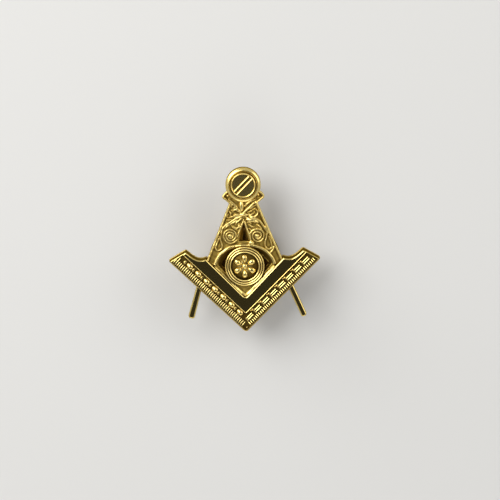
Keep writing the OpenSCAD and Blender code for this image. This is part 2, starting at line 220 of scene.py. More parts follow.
def pick_faces(piece, wanted):
    """Selects, in edit mode, the faces whose middle and normal pass the test."""
    bpy.ops.mesh.select_mode(type="FACE")
    bpy.ops.mesh.select_all(action="DESELECT")
    shape = bmesh.from_edit_mesh(piece.data)
    for face in shape.faces:
        face.select_set(wanted(face.calc_center_median(), face.normal))
    shape.select_flush_mode()
    bmesh.update_edit_mesh(piece.data)


def apply_modifier(piece, kind, **settings):
    """Adds a modifier with its settings and applies it."""
    activate(piece)
    modifier = piece.modifiers.new(kind.title(), kind)
    for name, value in settings.items():
        setattr(modifier, name, value)
    bpy.ops.object.modifier_apply(modifier=modifier.name)


def join(pieces):
    """Joins pieces into the first one."""
    activate(pieces[0])
    for piece in pieces:
        piece.select_set(True)
    bpy.ops.object.join()
    return pieces[0]


def fuse(piece, other, operation="UNION"):
    """Unites two closed pieces, or cuts the second out of the first, and drops the second."""
    apply_modifier(piece, "BOOLEAN", operation=operation, object=other, solver="MANIFOLD")
    bpy.data.objects.remove(other)
    return piece


def settle(piece):
    """Puts a piece's place, turn and size into its mesh."""
    activate(piece)
    bpy.ops.object.transform_apply(location=True, rotation=True, scale=True)
    return piece


def turn_outwards():
    """Turns all faces of the mesh in edit mode outwards, and leaves edit mode."""
    bpy.ops.mesh.select_all(action="SELECT")
    bpy.ops.mesh.normals_make_consistent(inside=False)
    bpy.ops.object.mode_set(mode="OBJECT")


def copy_at(piece, place, turn):
    """A copy of a piece that is modelled over the origin, with its own mesh, moved and turned."""
    twin = piece.copy()
    twin.data = piece.data.copy()
    bpy.context.scene.collection.objects.link(twin)
    twin.location = place
    twin.rotation_euler.z = turn
    return settle(twin)


def drawn_lines(name, lines, height, stretch=1.0, taper=0.0):
    """Round bars along smooth lines at one height. Each line is (points, half width).

    The bars are stretched upwards and downwards; a taper is the share of the width that is left at both
    ends of a line.
    """
    deselect_all()
    bpy.ops.curve.primitive_bezier_curve_add(location=(0, 0, 0))
    piece = bpy.context.object
    piece.name = name
    curve = piece.data
    curve.splines.clear()
    curve.dimensions = "3D"
    # A bar of radius one, which each knot then takes to its own width
    curve.bevel_depth = 1
    curve.bevel_resolution = 2
    curve.resolution_u = 6
    curve.use_fill_caps = True
    for points, half_width in lines:
        spline = curve.splines.new("BEZIER")
        spline.bezier_points.add(len(points) - 1)
        for knot, (x, y) in zip(spline.bezier_points, points):
            knot.co = (x, y, height)
            knot.handle_left_type = "AUTO"
            knot.handle_right_type = "AUTO"
            knot.radius = half_width
        if taper:
            spline.bezier_points[0].radius = half_width * taper
            spline.bezier_points[-1].radius = half_width * taper
    activate(piece)
    bpy.ops.object.convert(target="MESH")
    piece = bpy.context.object
    bpy.ops.object.mode_set(mode="EDIT")
    bpy.ops.mesh.select_all(action="SELECT")
    bpy.ops.mesh.remove_doubles(threshold=1e-4)
    bpy.ops.transform.resize(value=(1, 1, stretch), center_override=(0, 0, height))
    turn_outwards()
    return piece


def loft(name, rings):
    """A closed form through outlines of plain points, each at its height, from the bottom upwards."""
    outline, height = rings[0]
    deselect_all()
    bpy.ops.mesh.primitive_circle_add(
        vertices=len(outline), radius=1, fill_type="NGON", location=(0, 0, 0))
    piece = bpy.context.object
    piece.name = name
    for vert, (x, y) in zip(piece.data.vertices, outline):
        vert.co = (x, y, height)
    bpy.ops.object.mode_set(mode="EDIT")
    bpy.ops.mesh.select_all(action="SELECT")
    for next_outline, next_height in rings[1:]:
        bpy.ops.mesh.extrude_region_move(TRANSFORM_OT_translate={"value": (0, 0, next_height - height)})
        shape = bmesh.from_edit_mesh(piece.data)
        # Each extruded point still lies over the one that it came from, and moves to that one's next place
        for vert in [v for v in shape.verts if v.select]:
            nearest = min(range(len(outline)), key=lambda i: (Vector(outline[i]) - vert.co.xy).length)
            vert.co.xy = next_outline[nearest]
        bmesh.update_edit_mesh(piece.data)
        outline, height = next_outline, next_height
    turn_outwards()
    return piece


def slab(name, outline, low, high):
    """A flat plate between two heights."""
    return loft(name, [(outline, low), (outline, high)])


def lathe(name, centre, profile, steps=96):
    """A turned piece: a circle raised and widened from each point (radius, height) to the next."""
    deselect_all()
    radius, height = profile[0]
    bpy.ops.mesh.primitive_circle_add(
        vertices=steps, radius=radius, fill_type="NGON", location=(centre[0], centre[1], height))
    piece = bpy.context.object
    piece.name = name
    bpy.ops.object.mode_set(mode="EDIT")
    bpy.ops.mesh.select_all(action="SELECT")
    for wider, higher in profile[1:]:
        bpy.ops.mesh.extrude_region_move(TRANSFORM_OT_translate={"value": (0, 0, higher - height)})
        bpy.ops.transform.resize(
            value=(wider / radius, wider / radius, 1), center_override=(centre[0], centre[1], higher))
        radius, height = wider, higher
    turn_outwards()
    return settle(piece)


def block(name, centre, size, turn=0.0, rise=(0, 0)):
    """A block, turned, whose top rises by so much along its length and along its width."""
    deselect_all()
    bpy.ops.mesh.primitive_cube_add(size=1, location=centre, rotation=(0, 0, turn), scale=size)
    piece = bpy.context.object
    piece.name = name
    if rise != (0, 0):
        bpy.ops.object.mode_set(mode="EDIT")
        pick_faces(piece, lambda middle, normal: normal.z > 0.5)
        # Inside the piece, its length, width and height are one until its size is settled
        shape = bmesh.from_edit_mesh(piece.data)
        for vert in {v for f in shape.faces if f.select for v in f.verts}:
            vert.co.z += (rise[0] * vert.co.x + rise[1] * vert.co.y) / size[2]
        bmesh.update_edit_mesh(piece.data)
        bpy.ops.object.mode_set(mode="OBJECT")
    return settle(piece)


def finish_piece(piece, name, node, material, smooth=30):
    """Brings a piece to metres, names, shades and colours it, and gives it its place in the frame.

    Edges that turn by less than the smooth angle, in degrees, are shaded round.
    """
    if not piece.data.polygons:
        raise RuntimeError(f"The piece {name} came out empty")
    activate(piece)
    piece.scale = (MM, MM, MM)
    bpy.ops.object.transform_apply(location=True, rotation=True, scale=True)
    piece.name = name
    piece.data.name = name
    bpy.ops.object.shade_smooth_by_angle(angle=math.radians(smooth))
    # A piece with eased edges keeps its flat faces flat; a cast skin, smoothed all over, has none
    if smooth < CAST_SKIN:
        apply_modifier(piece, "WEIGHTED_NORMAL", keep_sharp=True)
    piece.data.materials.clear()
    piece.data.materials.append(material)
    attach(piece, "root")
    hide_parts(node)


# Shapes shared by several pieces


def bezier(a, b, c, d, t):
    """The point at a share t of the curve from a to d, which b and c draw towards them."""
    return tuple(
        (1 - t) ** 3 * p + 3 * (1 - t) ** 2 * t * q + 3 * (1 - t) * t * t * r + t ** 3 * s
        for p, q, r, s in zip(a, b, c, d))


def grown(points, distance):
    """A closed outline, anticlockwise, moved outwards by a distance."""
    moved = []
    count = len(points)
    for i in range(count):
        before, here, after = (Vector(points[(i + k) % count]) for k in (-1, 0, 1))
        u = (here - before).normalized()
        v = (after - here).normalized()
        a = Vector((u.y, -u.x))
        b = Vector((v.y, -v.x))
        moved.append(tuple(here + distance * (a + b) / (1 + a.dot(b))))
    return moved


def quarter_round(radius):
    """How far inwards and upwards each step of a rounded edge lies, from the wall to the flat."""
    steps = 4
    turns = [math.pi / 2 * k / steps for k in range(steps + 1)]
    return [(radius * (1 - math.cos(turn)), radius * math.sin(turn)) for turn in turns]


def rounded_corner(before, corner, after, radius):
    """Points of the arc that rounds a corner of an outline."""
    before, corner, after = Vector(before), Vector(corner), Vector(after)
    back = (before - corner).normalized()
    on = (after - corner).normalized()
    half = back.angle(on) / 2
    centre = corner + (back + on).normalized() * radius / math.sin(half)
    start = (corner + back * radius / math.tan(half) - centre).normalized()
    end = (corner + on * radius / math.tan(half) - centre).normalized()
    steps = 6
    return [tuple(centre + radius * start.slerp(end, k / steps)) for k in range(steps + 1)]


def rounded_outline(corners, inset, radii):
    """A closed outline, anticlockwise, moved inwards, with rounded corners.

    The radii are those before the move: nought leaves a corner sharp, and one below nought belongs to a
    hollow corner. Moving inwards makes a corner's arc smaller and a hollow one's larger.
    """
    least = 0.03
    moved = grown(corners, -inset)
    outline = []
    for i, radius in enumerate(radii):
        if radius == 0:
            outline.append(moved[i])
        else:
            radius = max(radius - inset, least) if radius > 0 else inset - radius
            outline += rounded_corner(moved[i - 1], moved[i], moved[(i + 1) % len(moved)], radius)
    return outline


def both_sides(right):
    """The radii of the right half's corners, from the outer to the inner one, and the left half's."""
    return right + right[-2:0:-1]


def mirrored(right):
    """The right half's corners, from the outer to the inner one, and their mirror images."""
    return right + [(-x, y) for x, y in right[-2:0:-1]]


def arm_corners(size):
    """The outer corner, and the tip and the peak of the right arm's end."""
    reach = size["square_reach"]
    tip = (reach, reach * math.tan(OUTER_SLOPE) - size["outer_corner"])
    peak = (reach - 2.5, 2.4)
    return [(0, -size["outer_corner"]), tip, peak]


def square_outline(size, inset):
    """The square's face, moved inwards: from each peak a hollow curve swings to the inner edge."""
    right = arm_corners(size)
    peak = right[-1]
    meet = 6.05
    end = (meet, meet * math.tan(INNER_SLOPE) - size["inner_corner"])
    steps = 10
    right += [bezier(peak, (7.7, 1.05), (7.2, 0.85), end, k / steps) for k in range(1, steps + 1)]
    right.append((0, -size["inner_corner"]))
    radii = [0.3, 0.15, 0.12] + [0] * steps + [-0.4]
    return rounded_outline(mirrored(right), inset, both_sides(radii))


def ruler_outline(size, inset):
    """The ruler's strip along both arms, moved inwards."""
    outer, tip, peak = arm_corners(size)
    inner = Vector((0, -size["strip_corner"]))
    beyond = 12
    far = Vector((beyond, beyond * math.tan(STRIP_SLOPE) - size["strip_corner"]))
    end = intersect_line_line_2d(Vector(tip), Vector(peak), inner, far)
    right = [outer, tip, tuple(end), tuple(inner)]
    return rounded_outline(mirrored(right), inset, both_sides([0.3, 0.15, 0.1, -0.05]))


def arm_point(size, side, along, across):
    """A point of the ruler, along the outer edge and inwards from it, and its arm's turn."""
    x = along * math.cos(OUTER_SLOPE) - across * math.sin(OUTER_SLOPE)
    y = along * math.sin(OUTER_SLOPE) + across * math.cos(OUTER_SLOPE) - size["outer_corner"]
    return side * x, y, side * OUTER_SLOPE


# Materials

# Spacing of the finishes' patterns, in millimetres. The real casting's grain and the clutch's turned rings
# are about three times finer, and are drawn coarse enough to show.
CASTING_GRAIN = 0.15
TURNED_RINGS = 0.1257
PAPER_MOTTLE = 3

# Roughness of the plating where painted shade darkens it
PAINTED_SHADE_ROUGHNESS = 0.45


def add_node(tree, kind, links=(), **settings):
    """Adds a node with its settings; links are (input name, output socket)."""
    node = tree.nodes.new(kind)
    for name, value in settings.items():
        if name in node.inputs:
            node.inputs[name].default_value = value
        else:
            setattr(node, name, value)
    for name, socket in links:
        tree.links.new(node.inputs[name], socket)
    return node


def empty_material(name):
    """A new node material and its empty node tree."""
    material = bpy.data.materials.new(name)
    material.use_nodes = True
    material.node_tree.nodes.clear()
    return material, material.node_tree


def grain_normal(tree, spacing, detail, strength, depth):
    """The normal of a surface with a fine grain; its spacing and depth are in millimetres."""
    place = add_node(tree, "ShaderNodeTexCoord")
    grain = add_node(
        tree, "ShaderNodeTexNoise", [("Vector", place.outputs["Object"])],
        Scale=1 / (spacing * MM), Detail=detail)
    bump = add_node(
        tree, "ShaderNodeBump", [("Height", grain.outputs["Fac"])], Strength=strength, Distance=depth * MM)
    return bump.outputs["Normal"]


def metal_shader(tree, grain, links=(), **settings):
    """Metal: a clear mirror, broken a little by the grain of the surface."""
    normal = grain_normal(tree, CASTING_GRAIN, 3.0, grain, 0.01)
    shader = add_node(
        tree, "ShaderNodeBsdfPrincipled", [("Normal", normal), *links],
        Metallic=1.0, **{"Specular Tint": (*bpy.context.scene.pin_colours.gilt, 1)}, **settings)
    add_node(tree, "ShaderNodeOutputMaterial", [("Surface", shader.outputs["BSDF"])])


def height_blend(tree, low, high):
    """A value that goes softly from nought at one height, in millimetres, to one at another."""
    place = add_node(tree, "ShaderNodeTexCoord")
    height = add_node(tree, "ShaderNodeSeparateXYZ", [("Vector", place.outputs["Object"])])
    blend = add_node(
        tree, "ShaderNodeMapRange", [("Value", height.outputs["Z"])],
        **{"From Min": low * MM, "From Max": high * MM}, interpolation_type="SMOOTHSTEP")
    return blend.outputs["Result"]


def gilt_material(name, roughness, grain, painted_shade_heights, foot=None):
    """Gold plating over cast brass, darkened brown in the recesses as painted shade.

    It has painted shade below the first height and is plain gilt over the second one, so that raised forms
    stand out in yellow from brown ground. Where a foot is given, the painted shade is lifted below that
    height.
    """
    colours = bpy.context.scene.pin_colours
    material, tree = empty_material(name)
    # Painted shade: darkened gilt low down, plain gilt on the raised forms
    outside_painted_shade = height_blend(tree, *painted_shade_heights)
    if foot is not None:
        foot_blend = 0.04
        edge = height_blend(tree, foot, foot - foot_blend)
        either = add_node(tree, "ShaderNodeMath", [(0, outside_painted_shade), (1, edge)], operation="MAXIMUM")
        outside_painted_shade = either.outputs["Value"]
    colour = add_node(
        tree, "ShaderNodeMixRGB", [("Fac", outside_painted_shade)],
        Color1=(*colours.painted_shade, 1), Color2=(*colours.gilt, 1))
    shine = add_node(
        tree, "ShaderNodeMapRange", [("Value", outside_painted_shade)],
        **{"To Min": PAINTED_SHADE_ROUGHNESS, "To Max": roughness})
    metal_shader(tree, grain, [
        ("Base Color", colour.outputs["Color"]), ("Roughness", shine.outputs["Result"])])
    return material


def plain_gilt_material(name):
    """Gold plating with no painted shade: yellow all over, with a soft shine."""
    material, tree = empty_material(name)
    metal_shader(tree, 0.1, Roughness=0.3, **{"Base Color": (*bpy.context.scene.pin_colours.gilt, 1)})
    return material


def cast_material(name):
    """Gilt with painted shade: brown in the creases, lighter on the ground, plain gilt on raised lines."""
    colours = bpy.context.scene.pin_colours
    material, tree = empty_material(name)
    # Painted shade in the creases, read from how deep each place lies
    painted_hollow_shade = add_node(tree, "ShaderNodeVertexColor", layer_name="painted_hollow_shade")
    painted_shade = add_node(
        tree, "ShaderNodeMapRange", [("Value", painted_hollow_shade.outputs["Color"])],
        **{"From Min": 0.32, "From Max": 0.47}, interpolation_type="SMOOTHSTEP")
    ground = add_node(
        tree, "ShaderNodeMixRGB", [("Fac", painted_shade.outputs["Result"])],
        Color1=(*colours.painted_shade, 1), Color2=(*colours.painted_ground_shade, 1))
    # Painted shade on all below the raised lines: the ground's colour low down, plain gilt on top
    outside_painted_shade = height_blend(tree, 7.22, 7.45)
    colour = add_node(
        tree, "ShaderNodeMixRGB", [("Fac", outside_painted_shade), ("Color1", ground.outputs["Color"])],
        Color2=(*colours.gilt, 1))
    shine = add_node(
        tree, "ShaderNodeMapRange", [("Value", outside_painted_shade)],
        **{"To Min": PAINTED_SHADE_ROUGHNESS, "To Max": 0.3})
    metal_shader(tree, 0.15, [
        ("Base Color", colour.outputs["Color"]), ("Roughness", shine.outputs["Result"])])
    return material


def turned_material(name):
    """Turned and lightly brushed brass: fine rings round the clutch, with a soft dull shine."""
    brass = bpy.context.scene.pin_colours.turned_brass
    material, tree = empty_material(name)
    place = add_node(tree, "ShaderNodeTexCoord")
    # At a scale of one, the texture's own rings are this far apart
    texture_rings = 2 * math.pi / 20
    rings = add_node(
        tree, "ShaderNodeTexWave", [("Vector", place.outputs["Object"])], wave_type="RINGS",
        rings_direction="Z", Scale=texture_rings / (TURNED_RINGS * MM), Distortion=1.0)
    tint = add_node(
        tree, "ShaderNodeMixRGB", [("Fac", rings.outputs["Fac"])],
        Color1=(*[0.9 * part for part in brass], 1), Color2=(*brass, 1))
    metal_shader(tree, 0.1, [("Base Color", tint.outputs["Color"])], Roughness=0.35)
    return material


def floor_material():
    """Matt paper: a soft pale surface with a faint mottle and no shine."""
    material, tree = empty_material("matt paper")
    normal = grain_normal(tree, PAPER_MOTTLE, 4.0, 0.05, 0.02)
    shader = add_node(
        tree, "ShaderNodeBsdfPrincipled", [("Normal", normal)],
        Roughness=0.9, **{"Base Color": (*bpy.context.scene.pin_colours.floor, 1)})
    add_node(tree, "ShaderNodeOutputMaterial", [("Surface", shader.outputs["BSDF"])])
    return material


# Operators


def look_rotation(forward, up):
    """The turn of a camera or light that looks along forward, with up at the top of its picture."""
    right = forward.cross(up).normalized()
    true_up = right.cross(forward)
    return Matrix((right, true_up, -forward)).transposed().to_quaternion()


class PIN_OT_stage(bpy.types.Operator):
    """Sets the camera, lays the pale floor and puts soft studio lights round it"""

    bl_idname = "pin.stage"
    bl_label = "Camera, floor and lights"

    def execute(self, context):
        self.camera(context)
        self.floor(context)
        self.lights(context)
        context.scene.world = self.tent()
        context.scene.view_settings.view_transform = "Standard"
        return {"FINISHED"}

    def camera(self, context):
        """Sets the camera nearly overhead, leaning a little towards the head of the compasses."""
        lean = math.radians(8.3)
        roll = math.radians(1.2)
        distance = 0.35
        sensor = 36.0
        # The photo's width and its scale, in pixels and in pixels a millimetre
        picture, scale = 500, 6.4
        view_width = picture / scale * MM
        # The place on the pin's face that lies in the middle of the photo
        aim = Vector((0.87 * MM, 2.59 * MM, (BACK_Z + 1.8) * MM))
        bpy.ops.object.camera_add(location=(0, 0, 0))
        camera = context.object
        camera.name = "camera"
        towards = Vector((0, math.sin(lean), math.cos(lean)))
        camera.location = aim + towards * distance
        camera.rotation_mode = "QUATERNION"
        up = Vector((math.sin(roll), math.cos(roll) * math.cos(lean), -math.sin(lean)))
        camera.rotation_quaternion = look_rotation(-towards, up)
        camera.data.sensor_width = sensor
        camera.data.lens = sensor * distance / view_width
        camera.data.clip_start = 0.005
        camera.data.clip_end = 20
        context.scene.camera = camera

    def floor(self, context):
        """Lays a wide sheet of paper, which is stage and no part of the pin."""
        deselect_all()
        bpy.ops.mesh.primitive_plane_add(size=4, location=(0, 0, 0))
        floor = context.object
        floor.name = "floor"
        floor.data.materials.append(floor_material())

    def lights(self, context):
        """Sets softboxes round the pin, none of which the camera sees."""
        # Name, place and size in metres, and power in watts; each points at the middle of the pin
        middle = Vector((0, 0, 0.007))
        lights = [
            ("key softbox", (-0.24, 0.22, 0.38), (0.32, 0.32), 1.8),
            ("low softbox", (-0.38, 0.36, 0.15), (0.4, 0.2), 0.9),
            ("right fill", (0.42, 0.2, 0.3), (0.35, 0.3), 0.7),
            ("front fill", (0.0, -0.45, 0.25), (0.4, 0.25), 0.4),
        ]
        for name, place, size, power in lights:
            bpy.ops.object.light_add(type="AREA", location=place)
            light = context.object
            light.name = name
            light.data.shape = "RECTANGLE"
            light.data.size = size[0]
            light.data.size_y = size[1]
            light.data.energy = power
            light.visible_camera = False
            aim = (middle - Vector(place)).normalized()
            light.rotation_mode = "QUATERNION"
            light.rotation_quaternion = look_rotation(aim, Vector((0, 0, 1)))

    def tent(self):
        """A light tent that is open and dark at the top, which polished level faces then mirror."""
        world = bpy.data.worlds.new("studio")
        world.use_nodes = True
        tree = world.node_tree
        tree.nodes.clear()
        place = add_node(tree, "ShaderNodeTexCoord")
        height = add_node(tree, "ShaderNodeSeparateXYZ", [("Vector", place.outputs["Generated"])])
        ramp = add_node(tree, "ShaderNodeValToRGB", [("Fac", height.outputs["Z"])])
        # Share of the way from the horizon to the top, and how bright it is there
        walls = [(0.0, 0.55), (0.45, 0.8), (0.8, 0.8), (0.94, 0.03)]
        stops = ramp.color_ramp.elements
        for spot, (position, brightness) in enumerate(walls):
            if spot == len(stops):
                stops.new(position)
            stops[spot].position = position
            stops[spot].color = (brightness, brightness, brightness, 1)
        shade = add_node(tree, "ShaderNodeBackground", [("Color", ramp.outputs["Color"])], Strength=0.85)
        add_node(tree, "ShaderNodeOutputWorld", [("Surface", shade.outputs["Background"])])
        return world


class PIN_OT_square(bpy.types.Operator):
    """Models the square: drafted walls, a polished band, and a sunk ruler with its marks"""

    bl_idname = "pin.square"
    bl_label = "Square"

    def execute(self, context):
        size = sizes()
        step_height, band_height = 0.35, 1.68
        band = BACK_Z + band_height
        body = self.body(size, step_height, band_height)
        ruler_drop = 0.3
        # The strip is a little wider and deeper than the room that is cut for it, so the two fuse
        narrower, depth = 0.12, 0.35
        room = slab("room", ruler_outline(size, narrower), band - depth, band + 1)
        fuse(body, room, "DIFFERENCE")
        fuse(body, self.ruler_strip(size, band, ruler_drop))
        body = join([body, self.ruler_marks(size, band - ruler_drop)])
        # Painted shade darkens the square's gilt low down, and is lifted again at the foot of the walls
        gilt = gilt_material("gilt square", 0.16, 0.05, (7.62, 7.86), foot=BACK_Z + step_height)
        finish_piece(body, "square", "emblem", gilt)
        return {"FINISHED"}

    def body(self, size, step_height, band_height):
        """Both arms as one plate: drafted walls on a narrow rounded step, and a rounded upper edge."""
        spread = size["wall_spread"]
        step, edge = 0.1, 0.26
        profile = [(-spread, 0)]
        profile += [(inset - spread, step_height - step + rise) for inset, rise in quarter_round(step)]
        profile.append((-0.1, step_height + 0.02))
        profile += [(inset, band_height - edge + rise) for inset, rise in quarter_round(edge)]
        return loft("square", [(square_outline(size, inset), BACK_Z + z) for inset, z in profile])

    def ruler_strip(self, size, band, drop):
        """The ruler's sunk floor with its raised rim; its section runs inwards, and up from the band."""
        rim, rim_rise, rim_edge, root = size["rim_width"], 0.06, 0.1, 0.4
        profile = [(0.01, -root)]
        profile += [(inset, rim_rise - rim_edge + rise) for inset, rise in quarter_round(rim_edge)]
        profile += [(rim, rim_rise), (rim + 0.03, rim_rise - 0.05), (rim + 0.05, -drop)]
        return loft("ruler", [(ruler_outline(size, inset), band + rise) for inset, rise in profile])

    def ruler_marks(self, size, floor):
        """Ticks, bars, pads and knobs of both arms, rooted in the ruler's floor."""
        # Each mark's length along the arm, length across it, height over the floor, how much its top rises
        # along the arm and across it, and the width of its bevel; those with no bevel are domes
        shapes = {
            "tick": (0.18, 0.92, 0.38, (0, 0), 0.085),
            "right tick": (0.115, 0.56, 0.3, (0, -0.17), 0.02),
            "long tick": (0.2, 1.0, 0.42, (0, 0), 0.095),
            "end tick": (0.2, 1.4, 0.4, (0, 0), 0.095),
            "pad": (1.3, 1.0, 0.46, (0.34, 0), 0),
            "bar": (1.38, 0.28, 0.37, (0, -0.09), 0.03),
            "pip": (0.5, 0.4, 0.3, (0, 0), 0),
            "left pip": (0.56, 0.8, 0.2, (0.1, 0), 0),
            "knob": (0.34, 0.34, 0.42, (0, 0), 0),
        }
        kinds = {name: self.mark(name, *shape) for name, shape in shapes.items()}
        unit, units, divisions = size["ruler_unit"], 8, 5
        step = unit / divisions
        # Mark, side, first and last unit that has it, and its place along the unit and across the arm
        rows = [
            ("bar", 1, 0, units - 1, 0.9, 1.1),
            ("bar", 1, 0, units - 1, 0.9, 1.44),
            ("pip", 1, 1, units - 1, 0.24, 1.78),
            ("knob", 1, 0, 0, -0.58, 0.45),
            ("knob", 1, 1, units - 1, -0.05, 1.84),
            ("right tick", 1, units, units, step / 2, 0.58),
            ("pad", -1, 1, units - 1, -0.1, 1.6),
            ("left pip", -1, 1, units - 1, 0.86, 1.54),
            ("tick", -1, 0, 0, 0, 0.66),
            ("tick", -1, units, units, step, 0.66),
            ("long tick", -1, 1, units - 1, 0, 0.7),
            ("end tick", -1, units, units, 0, 0.92),
        ]
        rows += [("right tick", 1, 0, units - 1, (k + 0.5) * step, 0.58) for k in range(divisions)]
        rows += [("tick", -1, 0, units - 1, k * step, 0.66) for k in range(1, divisions)]
        marks = []
        for name, side, first, last, along, across in rows:
            for k in range(first, last + 1):
                x, y, turn = arm_point(size, side, size["ruler_start"] + k * unit + along, across)
                marks.append(copy_at(kinds[name], (x, y, floor), turn))
        for kind in kinds.values():
            bpy.data.objects.remove(kind)
        return join(marks)

    def mark(self, name, along, across, height, rise, bevel):
        """A bar with eased edges, or a dome, over the origin."""
        if bevel:
            root = 0.08
            middle = (0, 0, (height - root) / 2)
            piece = block(name, middle, (along, across, height + root), rise=rise)
            apply_modifier(
                piece, "BEVEL", width=bevel, segments=2, limit_method="ANGLE",
                angle_limit=math.radians(25), use_clamp_overlap=True)
            return piece
        deselect_all()
        bpy.ops.mesh.primitive_uv_sphere_add(
            segments=20, ring_count=12, radius=1, scale=(along / 2, across / 2, height))
        piece = settle(bpy.context.object)
        piece.name = name
        for vert in piece.data.vertices:
            vert.co.z += rise[0] * vert.co.x / along + rise[1] * vert.co.y / across
        return piece


class PIN_OT_compasses(bpy.types.Operator):
    """Models the compasses: the pierced plate, its rims and scrolls"""

    bl_idname = "pin.compasses"
    bl_label = "Compasses"

    def execute(self, context):
        size = sizes()
        field = BACK_Z + size["field_height"]
        blank = self.blank(field)
        relief = [drawn_lines(*group) for group in self.relief_lines(field)]
        plate = join([blank, *relief, *self.mounds(field)])
        # One skin is laid over plate and relief, and again over the cuts, as metal fills a mould
        voxel = 0.05
        apply_modifier(plate, "REMESH", mode="VOXEL", voxel_size=voxel)
        for cutter in self.cutters(size, field):
            fuse(plate, cutter, "DIFFERENCE")
        apply_modifier(plate, "REMESH", mode="VOXEL", voxel_size=voxel)
        self.wear(plate)
        apply_modifier(plate, "SMOOTH", factor=0.5, iterations=3)
        apply_modifier(plate, "DECIMATE", ratio=0.4)
        # Painted shade in the creases, kept as a colour attribute
        paint_shade_in_creases(plate)
        finish_piece(plate, "compasses", "emblem", cast_material("gilt compasses"), CAST_SKIN)
        return {"FINISHED"}

    def blank(self, field):
        """The plate under the ornament: neck, ears and both upper legs, and the ground inside the arch."""
        neck = (2.19, 9.98)
        spread_per_drop = 0.415
        end = -0.8
        foot = (neck[0] + (neck[1] - end) * spread_per_drop, end)
        leg_width = 2.4
        right = [
            (0.9, 12.9), (2.2, 12.2), (2.6, 11.75), (3.0, 11.46), (3.32, 10.93), (2.9, 10.55), neck, foot,
            (foot[0] - leg_width, end)]
        outline = [(-x, y) for x, y in right] + right[::-1]
        plate = slab("compasses", outline, BACK_Z, field)
        steps = 72
        turns = [2 * math.pi * k / steps for k in range(steps)]
        arch = [(4.55 * math.cos(turn), ARCH_RADIUS * math.sin(turn) + ARCH_MIDDLE[1]) for turn in turns]
        # A hair thinner than the plate, so that no two faces lie in one plane
        hair = 0.002
        return fuse(plate, slab("arch", arch, BACK_Z + hair, field - hair))

    def relief_lines(self, field):
        """Groups of raised lines: name, lines, height of their middles, upward stretch and taper."""
        rims, fillets, volutes = [], [], []
        for side, rim_width in ((-1, 0.18), (1, 0.21)):
            rims.append(([(side * 2.02, 9.98), (side * 5.88, 0.68)], rim_width))
            ear = [(2.45, 11.75), (2.92, 11.35), (3.14, 10.93), (2.7, 10.5), (2.05, 9.95)]
            rims.append(([(side * x, y) for x, y in ear], 0.17))
            inner_edge = [(0, -4.9), (0.78, -4.28), (2.78, -2.23), (4.75, -0.2)]
            fillets.append(([(side * x, y) for x, y in inner_edge], 0.55))
        for middle, first, turns in zip(VOLUTES, (-30, 190), (2.5, 2.2)):
            volutes.append((self.spiral(middle, first, turns), 0.14))
        right_arch = [arch_point(ARCH_RADIUS, degrees) for degrees in range(15, 95, 10)]
        arch = right_arch + [(-x, y) for x, y in right_arch[::-1]]
        return [
            ("rims", rims, field + 0.12, 1.6, 0),
            ("arch", [(arch, 0.3)], field, 1.0, 0),
            ("fillets", fillets, field - 0.2, 1.0, 0.7),
            ("volutes", volutes + VOLUTE_STEMS, field, 1.5, 0.6),
            ("collar", COLLAR_LINES, field, 1.5, 0.6),
            ("left leaves", LEFT_LEAF_LINES, field, 1.6, 0.4),
            ("right leaves", RIGHT_LEAF_LINES, field, 1.5, 0.4),
            ("loops", LOOP_LINES, field, 1.7, 0.8),
        ]

    def spiral(self, middle, first, turns):
        """A volute's line, wound clockwise and inwards from the angle first, in degrees."""
        steps = round(turns * 16)
        outer, closing = 1.22, 0.78
        points = []
        for k in range(steps + 1):
            angle = math.radians(first - 360 * turns * k / steps)
            radius = outer * (1 - closing * k / steps)
            points.append((middle[0] + radius * math.cos(angle), middle[1] + radius * math.sin(angle)))
        return points

    def mounds(self, field):
        """Rounded swellings of the relief, half sunk in the ground."""
        left_eye, right_eye = VOLUTES
        # Middle and half sizes: a bead in each ear, the tongue under the head, two swellings where the
        # leaves spring from the crossing, the eyes of the volutes, and the foot of the right stem
        shapes = [
            ((-2.47, 11.1), (0.22, 0.22, 0.3)),
            ((2.35, 11.2), (0.22, 0.22, 0.3)),
            ((-0.32, 9.5), (0.4, 0.95, 0.42)),
            ((0.0, 8.05), (0.75, 0.3, 0.35)),
            ((1.2, 7.3), (0.95, 0.28, 0.4)),
            (left_eye, (0.3, 0.3, 0.25)),
            (right_eye, (0.3, 0.3, 0.25)),
            ((1.1, 3.6), (0.5, 0.4, 0.4)),
        ]
        mounds = []
        for middle, half in shapes:
            deselect_all()
            bpy.ops.mesh.primitive_uv_sphere_add(radius=1, location=(*middle, field), scale=half)
            mounds.append(settle(bpy.context.object))
        return mounds

    def cutters(self, size, field):
        """The gap between the legs, and on each side of the rosette a hole and the cove over it."""
        below, above = BACK_Z - 0.1, field + 0.4
        cutters = [loft("gap", [
            ([(0.04, 5.9), (-0.2, 3.85), (0.36, 3.85)], below),
            ([(0.0, 7.25), (-1.15, 3.9), (0.92, 3.9)], above)])]
        rosette_side = 3.05
        for side, hole_radius in ((-1, 3.02), (1, 3.2)):
            hole = crescent(size, side, hole_radius, rosette_side, 0.9, 62)
            inside = crescent(size, side, hole_radius + 0.05, rosette_side, 0.8, 89)
            cove = crescent(size, side, 3.95, rosette_side, 0.45, 89)
            cutters.append(slab("hole", hole, below, above))
            cutters.append(loft("cove", [(inside, BACK_Z + 0.35), (cove, field + 0.35)]))
        return cutters

    def wear(self, plate):
        """Gives the cast surface the slight waves of a worn mould."""
        waves = bpy.data.textures.new("waves", "CLOUDS")
        waves.noise_scale = 0.9
        waves.noise_depth = 1
        apply_modifier(
            plate, "DISPLACE", texture=waves, texture_coords="LOCAL", direction="Z",
            strength=0.14, mid_level=0.5)


def arch_point(radius, degrees):
    """A point of a circle round the middle of the arch's right side."""
    turn = math.radians(degrees)
    return ARCH_MIDDLE[0] + radius * math.cos(turn), ARCH_MIDDLE[1] + radius * math.sin(turn)


